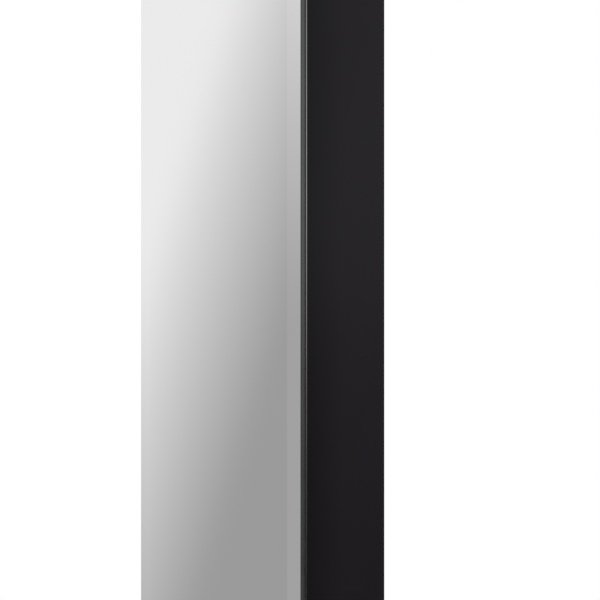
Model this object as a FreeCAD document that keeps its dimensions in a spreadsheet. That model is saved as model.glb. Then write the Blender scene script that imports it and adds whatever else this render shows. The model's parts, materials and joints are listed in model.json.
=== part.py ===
import FreeCAD, Part
import math
import os

import Sketcher
from FreeCAD import Vector

# Full length mirror cabinet for a wall.
# Millimetres. +X is to the right seen from the front, the front faces -Y, +Z is up.
# The origin is on the wall plane, in the middle of the four wall holes.

DIMENSIONS = {
    # Whole cabinet
    "cabinet_width": 387.0,
    "cabinet_height": 1778.0,
    "carcass_depth": 203.0,
    "fit_clearance": 0.3,
    # Carcass panels
    "panel_thickness": 16.0,
    "panel_arris": 0.8,
    "back_thickness": 4.0,
    "back_rebate": 8.0,
    # Tongues that join the panels
    "tongue_thickness": 6.0,
    "tongue_length": 8.0,
    "tongue_clearance": 0.1,
    # Hanging rails, their dowels and the wall holes
    "rail_height": 70.0,
    "rail_thickness": 16.0,
    "dowel_diameter": 8.0,
    "dowel_length": 30.0,
    "dowel_side_depth": 11.0,
    "dowel_clearance": 0.05,
    "dowel_end_gap": 1.0,
    "dowel_spacing": 32.0,
    "wall_hole_spacing": 256.0,
    "wall_hole_diameter": 8.0,
    # Mirror on the back wall
    "back_mirror_thickness": 3.0,
    "back_mirror_margin": 1.0,
    "back_tape_width": 20.0,
    "back_tape_spacing": 130.0,
    "back_tape_count": 3,
    # Front trim of the carcass
    "trim_thickness": 2.5,
    "trim_overhang": 8.0,
    "trim_leg_thickness": 2.0,
    "trim_leg_length": 14.0,
    # Door gasket
    "gasket_width": 7.0,
    "gasket_base": 0.8,
    "gasket_inset": 0.5,
    # Continuous hinge
    "leaf_thickness": 0.7,
    "leaf_width": 13.5,
    "hinge_pin_diameter": 1.3,
    "hinge_pin_clearance": 0.05,
    "hinge_pin_head": 1.0,
    "barrel_overhang": 1.5,
    "hinge_end_margin": 20.0,
    "knuckle_count": 15,
    "knuckle_gap": 0.3,
    # Hinge screws
    "hinge_screw_count": 8,
    "screw_diameter": 3.0,
    "screw_head_diameter": 5.4,
    "screw_head_height": 0.9,
    "screw_clearance": 0.05,
    "carcass_screw_length": 11.0,
    "door_screw_length": 4.5,
    # Door
    "glass_thickness": 5.0,
    "bevel_width": 26.0,
    "bevel_drop": 2.6,
    "tape_thickness": 0.8,
    "tape_width": 14.0,
    "tape_inset": 8.0,
    "door_frame_thickness": 7.0,
    "door_frame_margin": 2.0,
    "door_frame_lip": 8.0,
    "door_frame_wall": 1.5,
    "inner_mirror_thickness": 3.0,
    "inner_mirror_bond": 0.2,
    "corner_key_length": 60.0,
    "corner_key_clearance": 0.1,
    # Glass shelves and their pins
    "shelf_count": 6,
    "shelf_thickness": 6.0,
    "shelf_depth": 155.0,
    "shelf_setback": 24.0,
    "shelf_end_gap": 2.0,
    "shelf_corner": 4.0,
    "shelf_seat_gap": 0.1,
    "shelf_pin_diameter": 5.0,
    "shelf_pin_depth": 9.0,
    "shelf_pin_reach": 9.0,
    "shelf_pin_clearance": 0.05,
    "shelf_collar_diameter": 7.0,
    "shelf_collar_thickness": 1.4,
    "shelf_pin_inset": 28.0,
    "pin_hole_pitch": 32.0,
    "pin_hole_rows": 1,
    # Magnetic catches
    "catch_count": 2,
    "catch_spacing": 1300.0,
    "catch_length": 46.0,
    "catch_width": 10.0,
    "catch_depth": 14.0,
    "catch_clearance": 0.05,
    "catch_flange": 1.5,
    "catch_head_height": 0.8,
    "catch_gap": 0.4,
    "magnet_length": 40.0,
    "magnet_width": 7.0,
    "magnet_thickness": 6.0,
    "strike_screw_spacing": 30.0,
}

doc = FreeCAD.newDocument("FullLengthMirrorCabinet")
sheet = doc.addObject("Spreadsheet::Sheet", "Dims")
for row, (alias, size) in enumerate(DIMENSIONS.items(), start=1):
    sheet.set(f"A{row}", alias)
    sheet.set(f"B{row}", str(size))
    sheet.setAlias(f"B{row}", alias)
doc.recompute()

# Places that several pieces share, as expressions over the sheet.
# A depth is a distance from the wall, so it is the negative of Y.
HALF_WIDTH = "(Dims.cabinet_width / 2)"
HALF_HEIGHT = "(Dims.cabinet_height / 2)"
INNER_HALF_WIDTH = f"({HALF_WIDTH} - Dims.panel_thickness)"
INNER_HALF_HEIGHT = f"({HALF_HEIGHT} - Dims.panel_thickness)"
PANEL_MIDDLE_X = f"({HALF_WIDTH} - Dims.panel_thickness / 2)"
PANEL_MIDDLE_Z = f"({HALF_HEIGHT} - Dims.panel_thickness / 2)"
RAIL_FRONT = "(Dims.back_thickness + Dims.rail_thickness)"
RAIL_MIDDLE_DEPTH = "(Dims.back_thickness + Dims.rail_thickness / 2)"
RAIL_MIDDLE_Z = f"({INNER_HALF_HEIGHT} - Dims.rail_height / 2)"
TRIM_WIDTH = "(Dims.panel_thickness + Dims.trim_overhang)"
TRIM_FRONT = "(Dims.carcass_depth + Dims.trim_thickness)"
BARREL_DIAMETER = "(Dims.hinge_pin_diameter + 2 * Dims.hinge_pin_clearance + 2 * Dims.leaf_thickness)"
BARREL_RADIUS = f"({BARREL_DIAMETER} / 2)"
HINGE_X = f"(-{HALF_WIDTH} - Dims.barrel_overhang)"
HINGE_DEPTH = f"({TRIM_FRONT} + {BARREL_RADIUS})"
LEAF_START_X = f"({HINGE_X} + {BARREL_RADIUS} + Dims.fit_clearance)"
LEAF_END_X = f"({HINGE_X} + Dims.leaf_width)"
LEAF_SCREW_X = f"(({LEAF_START_X} + {LEAF_END_X}) / 2)"
HINGE_LENGTH = "(Dims.cabinet_height - 2 * Dims.hinge_end_margin)"
KNUCKLE_PITCH = f"({HINGE_LENGTH} / Dims.knuckle_count)"
KNUCKLE_LENGTH = f"({KNUCKLE_PITCH} - Dims.knuckle_gap)"
SCREW_PITCH = f"({HINGE_LENGTH} / Dims.hinge_screw_count)"
DOOR_BACK = f"({TRIM_FRONT} + {BARREL_DIAMETER})"
DOOR_FRAME_FACE = f"({TRIM_WIDTH} + Dims.door_frame_margin)"
DOOR_FRAME_WIDTH = f"({DOOR_FRAME_FACE} + Dims.door_frame_lip)"
REBATE_FLOOR = f"({DOOR_BACK} + Dims.inner_mirror_thickness + Dims.inner_mirror_bond)"
DOOR_FRAME_FRONT = f"({DOOR_BACK} + Dims.door_frame_thickness)"
GLASS_BACK = f"({DOOR_FRAME_FRONT} + Dims.tape_thickness)"
GLASS_EDGE_FRONT = f"({GLASS_BACK} + Dims.glass_thickness - Dims.bevel_drop)"
SHELF_PITCH = f"(2 * {INNER_HALF_HEIGHT} / (Dims.shelf_count + 1))"
SHELF_PIN_ROW_STEP = "(Dims.shelf_depth - 2 * Dims.shelf_pin_inset)"
FIRST_SHELF_PIN_DEPTH = "(Dims.shelf_setback + Dims.shelf_pin_inset)"
HALF_TONGUE = "(Dims.tongue_thickness / 2)"
HALF_GROOVE = f"({HALF_TONGUE} + Dims.tongue_clearance)"
GROOVE_DEPTH = "(Dims.tongue_length + Dims.tongue_clearance)"
DOWEL_HOLE = "(Dims.dowel_diameter + 2 * Dims.dowel_clearance)"
DOWEL_Z = f"({RAIL_MIDDLE_Z} - Dims.dowel_spacing / 2)"
SCREW_HOLE = "(Dims.screw_diameter + 2 * Dims.screw_clearance)"
SCREW_HEAD_HOLE = "(Dims.screw_head_diameter + 2 * Dims.screw_clearance)"
LOWEST_CATCH_Z = "(-(Dims.catch_count - 1) * Dims.catch_spacing / 2)"
STRIKE_THICKNESS = f"({BARREL_DIAMETER} - Dims.catch_head_height - Dims.catch_gap)"

SIDES = {"left": -1, "right": 1, "bottom": -1, "top": 1}
# Pins, dowels and screws are a few millimetres thick, so they and their holes are drawn with flats.
SMALL_ROUND_SIDES = 8
subparts = []


# Helpers

def number(expression):
    """Works out an expression over the sheet."""
    return float(sheet.evalExpression(expression))


def count(alias):
    """Reads a whole number from the sheet."""
    return int(round(number(f"Dims.{alias}")))


def signed(side, expression):
    """Gives an expression on the side of the middle plane that is named."""
    return f"({SIDES[side]} * {expression})"


def new_body(name):
    """Adds a sub-part that may hold one solid or a group of them."""
    body = doc.addObject("PartDesign::Body", name)
    body.Label = name
    body.AllowCompound = True
    subparts.append(body)
    return body


def origin_feature(body, role):
    return next(feature for feature in body.Origin.OriginFeatures if feature.Role == role)


def new_sketch(body, plane, offset="0", origin=None):
    """Adds a sketch on one of the body's own planes, moved along its normal.

    On XZ_Plane the sketch reads (X, Z) and its normal is -Y, so the offset is a depth.
    On YZ_Plane it reads (Y, Z) with normal +X, on XY_Plane (X, Y) with normal +Z.
    """
    sketch = body.newObject("Sketcher::SketchObject", f"{body.Label}_sketch")
    sketch.AttachmentSupport = [(origin_feature(body, plane), "")]
    sketch.MapMode = "FlatFace"
    sketch.setExpression("AttachmentOffset.Base.z", offset)
    if origin:
        sketch.setExpression("AttachmentOffset.Base.x", origin[0])
        sketch.setExpression("AttachmentOffset.Base.y", origin[1])
    return sketch


def place_point(sketch, geometry, point, x, y):
    """Ties a point of the sketch to two expressions."""
    for kind, expression in (("DistanceX", x), ("DistanceY", y)):
        constraint = Sketcher.Constraint(kind, -1, 1, geometry, point, number(expression))
        index = sketch.addConstraint(constraint)
        sketch.setExpression(f"Constraints[{index}]", expression)


def add_polygon(sketch, points):
    """Draws a closed outline of straight lines through points given as expressions."""
    corners = [Vector(number(x), number(y), 0) for x, y in points]
    total = len(corners)
    lines = [
        sketch.addGeometry(Part.LineSegment(corners[i], corners[(i + 1) % total])) for i in range(total)
    ]
    for i in range(total):
        sketch.addConstraint(Sketcher.Constraint("Coincident", lines[i], 2, lines[(i + 1) % total], 1))
    for line, (x, y) in zip(lines, points):
        place_point(sketch, line, 1, x, y)


def add_rectangle(sketch, left, bottom, right, top):
    add_polygon(sketch, [(left, bottom), (right, bottom), (right, top), (left, top)])


def add_circle(sketch, x, y, diameter):
    centre = Vector(number(x), number(y), 0)
    circle = sketch.addGeometry(Part.Circle(centre, Vector(0, 0, 1), number(diameter) / 2))
    place_point(sketch, circle, 3, x, y)
    index = sketch.addConstraint(Sketcher.Constraint("Diameter", circle, number(diameter)))
    sketch.setExpression(f"Constraints[{index}]", diameter)


def add_small_round(sketch, x, y, diameter):
    """Draws a small round with flats; its corners lie on the circle."""
    points = []
    for i in range(SMALL_ROUND_SIDES):
        angle = 2 * math.pi * i / SMALL_ROUND_SIDES
        points.append((
            f"{x} + ({math.cos(angle):.6f}) * ({diameter}) / 2",
            f"{y} + ({math.sin(angle):.6f}) * ({diameter}) / 2",
        ))
    add_polygon(sketch, points)


def add_arc_outline(sketch, path, centre, tied):
    """Draws lines through four points, closed by an anticlockwise arc from the last to the first.

    The arc's centre lies midway between its ends, so one of its two distances is tied.
    """
    corners = [Vector(number(x), number(y), 0) for x, y in path]
    lines = [sketch.addGeometry(Part.LineSegment(a, b)) for a, b in zip(corners, corners[1:])]
    first, last = lines[0], lines[-1]
    for before, after in zip(lines, lines[1:]):
        sketch.addConstraint(Sketcher.Constraint("Coincident", before, 2, after, 1))
    for line, (x, y) in zip(lines, path):
        place_point(sketch, line, 1, x, y)
    place_point(sketch, last, 2, *path[-1])
    hub = Vector(number(centre[0]), number(centre[1]), 0)
    begin, finish = (math.atan2(p.y - hub.y, p.x - hub.x) for p in (corners[-1], corners[0]))
    if finish < begin:
        finish += 2 * math.pi
    circle = Part.Circle(hub, Vector(0, 0, 1), hub.distanceToPoint(corners[0]))
    arc = sketch.addGeometry(Part.ArcOfCircle(circle, begin, finish))
    sketch.addConstraint(Sketcher.Constraint("Coincident", arc, 1, last, 2))
    sketch.addConstraint(Sketcher.Constraint("Coincident", arc, 2, first, 1))
    expression = centre[0] if tied == "DistanceX" else centre[1]
    index = sketch.addConstraint(Sketcher.Constraint(tied, -1, 1, arc, 3, number(expression)))
    sketch.setExpression(f"Constraints[{index}]", expression)


def pad(body, sketch, length, midplane=False):
    feature = body.newObject("PartDesign::Pad", f"{body.Label}_pad")
    feature.Profile = sketch
    feature.setExpression("Length", length)
    feature.Midplane = midplane
    return feature


def require_cut(feature, volume_before):
    """Stops the build where a cut took nothing away."""
    doc.recompute()
    if feature.Shape.Volume >= volume_before:
        raise RuntimeError(f"{feature.Name} cuts nothing")


def pocket(body, sketch, depth, along_normal=False):
    """Cuts against the sketch's normal, or along it."""
    doc.recompute()
    volume = body.Shape.Volume
    feature = body.newObject("PartDesign::Pocket", f"{body.Label}_pocket")
    feature.Profile = sketch
    feature.setExpression("Length", depth)
    feature.Reversed = along_normal
    require_cut(feature, volume)
    return feature


def pocket_through(body, sketch):
    """Cuts both ways from the sketch, all the way through."""
    doc.recompute()
    volume = body.Shape.Volume
    feature = body.newObject("PartDesign::Pocket", f"{body.Label}_pocket")
    feature.Profile = sketch
    feature.Type = "ThroughAll"
    feature.Midplane = True
    require_cut(feature, volume)
    return feature


def along(axis, spacing, copies):
    """Describes a row of copies along an axis of the body; the spacing may be negative."""
    return {"axis": axis, "spacing": spacing, "copies": copies}


def across(plane):
    """Describes a mirror copy across a plane of the body."""
    return {"plane": plane}


def repeat(body, features, *steps):
    """Repeats features by rows and mirror copies, one step on top of the other."""
    whole = body.newObject("PartDesign::MultiTransform", f"{body.Label}_repeat")
    whole.Originals = features
    transformations = []
    for step in steps:
        if "plane" in step:
            transformation = body.newObject("PartDesign::Mirrored", f"{body.Label}_mirror")
            transformation.MirrorPlane = (origin_feature(body, step["plane"]), [""])
        else:
            transformation = body.newObject("PartDesign::LinearPattern", f"{body.Label}_row")
            transformation.Direction = (origin_feature(body, step["axis"]), [""])
            transformation.Reversed = number(step["spacing"]) < 0
            transformation.Mode = "Spacing"
            transformation.setExpression("Offset", f"abs({step['spacing']})")
            transformation.setExpression("Occurrences", step["copies"])
        transformations.append(transformation)
    whole.Transformations = transformations
    body.Tip = whole
    doc.recompute()
    return whole


def slab(body, left, bottom, right, top, near, far):
    """Pads a rectangle in (X, Z) between two depths."""
    sketch = new_sketch(body, "XZ_Plane", near)
    add_rectangle(sketch, left, bottom, right, top)
    return pad(body, sketch, f"{far} - {near}")


def mitred_band(body, where, half_width, half_height, band, near, far):
    """Pads one mitred piece of a rectangular ring between two depths."""
    inner_width = f"({half_width} - {band})"
    inner_height = f"({half_height} - {band})"
    if where in ("left", "right"):
        outer = signed(where, half_width)
        inner = signed(where, inner_width)
        points = [
            (outer, f"-{half_height}"),
            (outer, half_height),
            (inner, inner_height),
            (inner, f"-{inner_height}"),
        ]
    else:
        outer = signed(where, half_height)
        inner = signed(where, inner_height)
        points = [
            (f"-{half_width}", outer),
            (half_width, outer),
            (inner_width, inner),
            (f"-{inner_width}", inner),
        ]
    sketch = new_sketch(body, "XZ_Plane", near)
    add_polygon(sketch, points)
    return pad(body, sketch, f"{far} - {near}")


# Places of holes and of what goes into them

def shelf_pin_rows():
    return along("Y_Axis", f"-{SHELF_PIN_ROW_STEP}", "2")


def shelf_levels():
    return along("Z_Axis", SHELF_PITCH, "Dims.shelf_count")


def dowel_pair():
    return along("Z_Axis", "Dims.dowel_spacing", "2")


def catch_row():
    return along("Z_Axis", "Dims.catch_spacing", "Dims.catch_count")


def strike_screw_pair():
    return along("Z_Axis", "Dims.strike_screw_spacing", "2")


FIRST_SHELF_PIN_Z = f"(-{INNER_HALF_HEIGHT} + {SHELF_PITCH})"
LOWEST_PIN_HOLE_Z = f"({FIRST_SHELF_PIN_Z} - (Dims.pin_hole_rows - 1) * Dims.pin_hole_pitch / 2)"
CARCASS_SCREW_Z = f"(-{HINGE_LENGTH} / 2 + {SCREW_PITCH} / 2)"
DOOR_SCREW_Z = f"(-{HINGE_LENGTH} / 2 + {SCREW_PITCH})"
STRIKE_SCREW_Z = f"({LOWEST_CATCH_Z} - Dims.strike_screw_spacing / 2)"
WALL_HOLE_X = "(Dims.wall_hole_spacing / 2)"


def carcass_screw_row():
    return along("Z_Axis", SCREW_PITCH, "Dims.hinge_screw_count")


def door_screw_row():
    return along("Z_Axis", SCREW_PITCH, "Dims.hinge_screw_count - 1")


# Carcass panels

def side_panel(side):
    body = new_body(f"{side}_side_panel")
    inner = signed(side, INNER_HALF_WIDTH)
    outer = signed(side, HALF_WIDTH)
    eased = signed(side, f"({HALF_WIDTH} - Dims.panel_arris)")
    section = new_sketch(body, "XY_Plane")
    add_polygon(section, [
        (inner, "-Dims.carcass_depth"),
        (eased, "-Dims.carcass_depth"),
        (outer, "-Dims.carcass_depth + Dims.panel_arris"),
        (outer, "-Dims.panel_arris"),
        (eased, "0"),
        (inner, "0"),
    ])
    pad(body, section, "Dims.cabinet_height", midplane=True)
    rebate = signed(side, f"({INNER_HALF_WIDTH} + Dims.back_rebate)")
    rebate_end = f"({INNER_HALF_HEIGHT} + Dims.back_rebate)"
    stopped_rebate = new_sketch(body, "XZ_Plane")
    add_rectangle(stopped_rebate, inner, f"-{rebate_end}", rebate, rebate_end)
    pocket(body, stopped_rebate, "Dims.back_thickness", True)
    # The holes run from the inner face towards the outer one.
    outwards = side == "right"
    grooves = new_sketch(body, "YZ_Plane", inner)
    for where in ("bottom", "top"):
        middle = signed(where, PANEL_MIDDLE_Z)
        add_rectangle(grooves, "-Dims.carcass_depth", f"{middle} - {HALF_GROOVE}",
                      "-Dims.back_thickness", f"{middle} + {HALF_GROOVE}")
    pocket(body, grooves, GROOVE_DEPTH, outwards)
    dowel_holes = new_sketch(body, "YZ_Plane", inner)
    add_small_round(dowel_holes, f"-{RAIL_MIDDLE_DEPTH}", DOWEL_Z, DOWEL_HOLE)
    dowel_pocket = pocket(body, dowel_holes, "Dims.dowel_side_depth + Dims.dowel_end_gap", outwards)
    repeat(body, [dowel_pocket], dowel_pair(), across("XY_Plane"))
    shelf_holes = new_sketch(body, "YZ_Plane", inner)
    hole = "Dims.shelf_pin_diameter + 2 * Dims.shelf_pin_clearance"
    add_small_round(shelf_holes, f"-{FIRST_SHELF_PIN_DEPTH}", LOWEST_PIN_HOLE_Z, hole)
    shelf_pocket = pocket(body, shelf_holes, "Dims.shelf_pin_depth + Dims.fit_clearance", outwards)
    pin_rows = along("Z_Axis", "Dims.pin_hole_pitch", "Dims.pin_hole_rows")
    repeat(body, [shelf_pocket], shelf_pin_rows(), pin_rows, shelf_levels())
    front_holes = new_sketch(body, "XZ_Plane", "Dims.carcass_depth")
    if side == "left":
        add_small_round(front_holes, LEAF_SCREW_X, CARCASS_SCREW_Z, SCREW_HOLE)
        reach = "Dims.carcass_screw_length - Dims.leaf_thickness - Dims.trim_thickness + Dims.fit_clearance"
        repeat(body, [pocket(body, front_holes, reach)], carcass_screw_row())
    else:
        catch_slot(front_holes)
        reach = "Dims.catch_depth - Dims.trim_thickness + Dims.fit_clearance"
        repeat(body, [pocket(body, front_holes, reach)], catch_row())


def end_panel(where):
    """The top or bottom panel, which lies between the side panels."""
    body = new_body(f"{where}_panel")
    inner = signed(where, INNER_HALF_HEIGHT)
    outer = signed(where, HALF_HEIGHT)
    rebate = signed(where, f"({INNER_HALF_HEIGHT} + Dims.back_rebate)")
    section = new_sketch(body, "YZ_Plane")
    add_polygon(section, [
        ("-Dims.carcass_depth", inner),
        ("-Dims.carcass_depth", outer),
        ("0", outer),
        ("0", rebate),
        ("-Dims.back_thickness", rebate),
        ("-Dims.back_thickness", inner),
    ])
    pad(body, section, f"2 * {INNER_HALF_WIDTH}", midplane=True)
    tongue = new_sketch(body, "YZ_Plane")
    middle = signed(where, PANEL_MIDDLE_Z)
    add_rectangle(tongue, "-Dims.carcass_depth", f"{middle} - {HALF_TONGUE}",
                  "-Dims.back_thickness", f"{middle} + {HALF_TONGUE}")
    pad(body, tongue, f"2 * ({INNER_HALF_WIDTH} + Dims.tongue_length)", midplane=True)


def wall_hole_cut(body, z):
    sketch = new_sketch(body, "XZ_Plane")
    for side in ("left", "right"):
        add_circle(sketch, signed(side, WALL_HOLE_X), z, "Dims.wall_hole_diameter")
    pocket_through(body, sketch)


def back_panel():
    body = new_body("back_panel")
    half_width = f"({INNER_HALF_WIDTH} + Dims.back_rebate - Dims.fit_clearance)"
    half_height = f"({INNER_HALF_HEIGHT} + Dims.back_rebate - Dims.fit_clearance)"
    slab(body, f"-{half_width}", f"-{half_height}", half_width, half_height, "0", "Dims.back_thickness")
    for where in ("bottom", "top"):
        wall_hole_cut(body, signed(where, RAIL_MIDDLE_Z))


def hanging_rail(name, where):
    body = new_body(name)
    low = signed(where, f"({INNER_HALF_HEIGHT} - Dims.rail_height)")
    high = signed(where, INNER_HALF_HEIGHT)
    slab(body, f"-{INNER_HALF_WIDTH}", low, INNER_HALF_WIDTH, high, "Dims.back_thickness", RAIL_FRONT)
    wall_hole_cut(body, signed(where, RAIL_MIDDLE_Z))
    ends = new_sketch(body, "YZ_Plane", INNER_HALF_WIDTH)
    add_small_round(ends, f"-{RAIL_MIDDLE_DEPTH}", f"{signed(where, RAIL_MIDDLE_Z)} - Dims.dowel_spacing / 2",
                    DOWEL_HOLE)
    depth = "Dims.dowel_length - Dims.dowel_side_depth + Dims.dowel_end_gap"
    repeat(body, [pocket(body, ends, depth)], dowel_pair(), across("YZ_Plane"))


def carcass_dowels():
    """Dowels from the side panels into the ends of the hanging rails."""
    body = new_body("carcass_dowels")
    sketch = new_sketch(body, "YZ_Plane", f"{INNER_HALF_WIDTH} + Dims.dowel_side_depth - Dims.dowel_length")
    add_small_round(sketch, f"-{RAIL_MIDDLE_DEPTH}", DOWEL_Z, "Dims.dowel_diameter")
    dowel = pad(body, sketch, "Dims.dowel_length")
    repeat(body, [dowel], dowel_pair(), across("XY_Plane"), across("YZ_Plane"))


# Mirror on the back wall

def back_mirror():
    body = new_body("back_mirror")
    half_width = f"({INNER_HALF_WIDTH} - Dims.back_mirror_margin)"
    half_height = f"({INNER_HALF_HEIGHT} - Dims.rail_height - Dims.back_mirror_margin)"
    near = "(Dims.back_thickness + Dims.tape_thickness)"
    far = f"({near} + Dims.back_mirror_thickness)"
    slab(body, f"-{half_width}", f"-{half_height}", half_width, half_height, near, far)
    tapes = new_body("back_mirror_tapes")
    first = "(-(Dims.back_tape_count - 1) * Dims.back_tape_spacing / 2 - Dims.back_tape_width / 2)"
    strip_half_height = f"({half_height} - Dims.back_tape_width)"
    strip = slab(tapes, first, f"-{strip_half_height}", f"{first} + Dims.back_tape_width",
                 strip_half_height, "Dims.back_thickness", near)
    repeat(tapes, [strip], along("X_Axis", "Dims.back_tape_spacing", "Dims.back_tape_count"))


# Front trim: an angle whose flange faces the door and whose leg lies inside the panel

def front_trim(where):
    body = new_body(f"front_trim_{where}")
    mitred_band(body, where, HALF_WIDTH, HALF_HEIGHT, TRIM_WIDTH, "Dims.carcass_depth", TRIM_FRONT)
    leg_back = "(Dims.carcass_depth - Dims.trim_leg_length)"
    mitred_band(body, where, INNER_HALF_WIDTH, INNER_HALF_HEIGHT, "Dims.trim_leg_thickness",
                leg_back, "Dims.carcass_depth")
    if where == "left":
        holes = new_sketch(body, "XZ_Plane", TRIM_FRONT)
        add_small_round(holes, LEAF_SCREW_X, CARCASS_SCREW_Z, SCREW_HOLE)
        repeat(body, [pocket(body, holes, "Dims.trim_thickness")], carcass_screw_row())
    if where == "right":
        holes = new_sketch(body, "XZ_Plane", TRIM_FRONT)
        catch_slot(holes)
        repeat(body, [pocket(body, holes, "Dims.trim_thickness")], catch_row())


# Gasket: a D section on a flat base

def gasket_section(sketch, low, high, upright):
    """Draws the section across a strip; upright strips read (X, Y), lying ones (Y, Z)."""
    height = f"({BARREL_DIAMETER} - Dims.fit_clearance)"
    rise = f"({height} - Dims.gasket_base)"
    radius = f"(Dims.gasket_width ^ 2 / (8 * {rise}) + {rise} / 2)"
    foot = f"-{TRIM_FRONT}"
    shoulder = f"(-{TRIM_FRONT} - Dims.gasket_base)"
    middle = f"(({low} + {high}) / 2)"
    centre = f"(-{TRIM_FRONT} - {height} + {radius})"
    if upright:
        path = [(high, shoulder), (high, foot), (low, foot), (low, shoulder)]
        add_arc_outline(sketch, path, (middle, centre), "DistanceY")
    else:
        path = [(shoulder, low), (foot, low), (foot, high), (shoulder, high)]
        add_arc_outline(sketch, path, (centre, middle), "DistanceX")


def door_gasket():
    body = new_body("door_gasket")
    low_x = f"({HALF_WIDTH} - {TRIM_WIDTH} + Dims.gasket_inset)"
    low_z = f"({HALF_HEIGHT} - {TRIM_WIDTH} + Dims.gasket_inset)"
    high_x = f"({low_x} + Dims.gasket_width)"
    high_z = f"({low_z} + Dims.gasket_width)"
    upright = new_sketch(body, "XY_Plane")
    gasket_section(upright, low_x, high_x, True)
    repeat(body, [pad(body, upright, f"2 * {high_z}", midplane=True)], across("YZ_Plane"))
    lying = new_sketch(body, "YZ_Plane")
    gasket_section(lying, low_z, high_z, False)
    length = f"2 * ({low_x} - Dims.fit_clearance)"
    repeat(body, [pad(body, lying, length, midplane=True)], across("XY_Plane"))


# Continuous hinge: two leaves rolled round one pin, with knuckles in turn

def knuckle_section(sketch, towards_wall):
    """Draws one rolled knuckle: a tab tangent to the barrel, the barrel and its bore."""
    flip = 1 if towards_wall else -1
    axis_y = f"(-{HINGE_DEPTH})"
    outer_y = f"({axis_y} + {flip} * {BARREL_RADIUS})"
    inner_y = f"({axis_y} + {flip} * ({BARREL_RADIUS} - Dims.leaf_thickness))"
    tab_x = f"({LEAF_START_X} + Dims.leaf_thickness)"
    bore_radius = f"({BARREL_RADIUS} - Dims.leaf_thickness)"
    meeting_x = f"({HINGE_X} + sqrt({BARREL_RADIUS} ^ 2 - {bore_radius} ^ 2))"
    path = [(meeting_x, inner_y), (tab_x, inner_y), (tab_x, outer_y), (HINGE_X, outer_y)]
    if not towards_wall:
        path.reverse()
    add_arc_outline(sketch, path, (HINGE_X, axis_y), "DistanceY")
    add_circle(sketch, HINGE_X, axis_y, f"2 * {bore_radius}")


def hinge_leaf(name, towards_wall):
    body = new_body(name)
    half_length = f"({HINGE_LENGTH} / 2)"
    if towards_wall:
        near = TRIM_FRONT
        far = f"({TRIM_FRONT} + Dims.leaf_thickness)"
        screw_z, screw_row = CARCASS_SCREW_Z, carcass_screw_row()
        first_knuckle, knuckles = "0", "(Dims.knuckle_count + 1) / 2"
    else:
        near = f"({DOOR_BACK} - Dims.leaf_thickness)"
        far = DOOR_BACK
        screw_z, screw_row = DOOR_SCREW_Z, door_screw_row()
        first_knuckle, knuckles = KNUCKLE_PITCH, "(Dims.knuckle_count - 1) / 2"
    slab(body, LEAF_START_X, f"-{half_length}", LEAF_END_X, half_length, near, far)
    holes = new_sketch(body, "XZ_Plane", far)
    add_small_round(holes, LEAF_SCREW_X, screw_z, SCREW_HOLE)
    repeat(body, [pocket(body, holes, "Dims.leaf_thickness")], screw_row)
    start = f"-{half_length} + {first_knuckle} + Dims.knuckle_gap / 2"
    section = new_sketch(body, "XY_Plane", start)
    knuckle_section(section, towards_wall)
    knuckle = pad(body, section, KNUCKLE_LENGTH)
    repeat(body, [knuckle], along("Z_Axis", f"2 * {KNUCKLE_PITCH}", knuckles))


def hinge_pin():
    body = new_body("hinge_pin")
    stem = new_sketch(body, "XY_Plane")
    add_circle(stem, HINGE_X, f"-{HINGE_DEPTH}", "Dims.hinge_pin_diameter")
    pad(body, stem, HINGE_LENGTH, midplane=True)
    head = new_sketch(body, "XY_Plane", f"{HINGE_LENGTH} / 2 - Dims.knuckle_gap / 2")
    add_circle(head, HINGE_X, f"-{HINGE_DEPTH}", f"{BARREL_DIAMETER} - Dims.fit_clearance")
    repeat(body, [pad(body, head, "Dims.hinge_pin_head")], across("XY_Plane"))


def screws(name, x, z, head_near, shank_near, length, *steps):
    """Low-headed screws, each a head and a shank padded from their nearer ends."""
    body = new_body(name)
    head = new_sketch(body, "XZ_Plane", head_near)
    add_small_round(head, x, z, "Dims.screw_head_diameter")
    head_pad = pad(body, head, "Dims.screw_head_height")
    shank = new_sketch(body, "XZ_Plane", shank_near)
    add_small_round(shank, x, z, "Dims.screw_diameter")
    repeat(body, [head_pad, pad(body, shank, length)], *steps)


def hinge_screws():
    seat = f"({TRIM_FRONT} + Dims.leaf_thickness)"
    screws("hinge_carcass_screws", LEAF_SCREW_X, CARCASS_SCREW_Z, seat,
           f"{seat} - Dims.carcass_screw_length", "Dims.carcass_screw_length", carcass_screw_row())
    seat = f"({DOOR_BACK} - Dims.leaf_thickness)"
    screws("hinge_door_screws", LEAF_SCREW_X, DOOR_SCREW_Z, f"{seat} - Dims.screw_head_height",
           seat, "Dims.door_screw_length", door_screw_row())


# Glass shelves and their pins

def glass_shelf(level):
    body = new_body(f"glass_shelf_{level}")
    half = f"({INNER_HALF_WIDTH} - Dims.shelf_end_gap)"
    eased = f"({half} - Dims.shelf_corner)"
    back = "-Dims.shelf_setback"
    front = "(-Dims.shelf_setback - Dims.shelf_depth)"
    pin_z = f"(-{INNER_HALF_HEIGHT} + {level} * {SHELF_PITCH})"
    underside = f"({pin_z} + Dims.shelf_pin_diameter / 2 + Dims.shelf_seat_gap)"
    sketch = new_sketch(body, "XY_Plane", underside)
    add_polygon(sketch, [
        (f"-{half}", back),
        (f"-{half}", f"{front} + Dims.shelf_corner"),
        (f"-{eased}", front),
        (eased, front),
        (half, f"{front} + Dims.shelf_corner"),
        (half, back),
    ])
    pad(body, sketch, "Dims.shelf_thickness")


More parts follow.
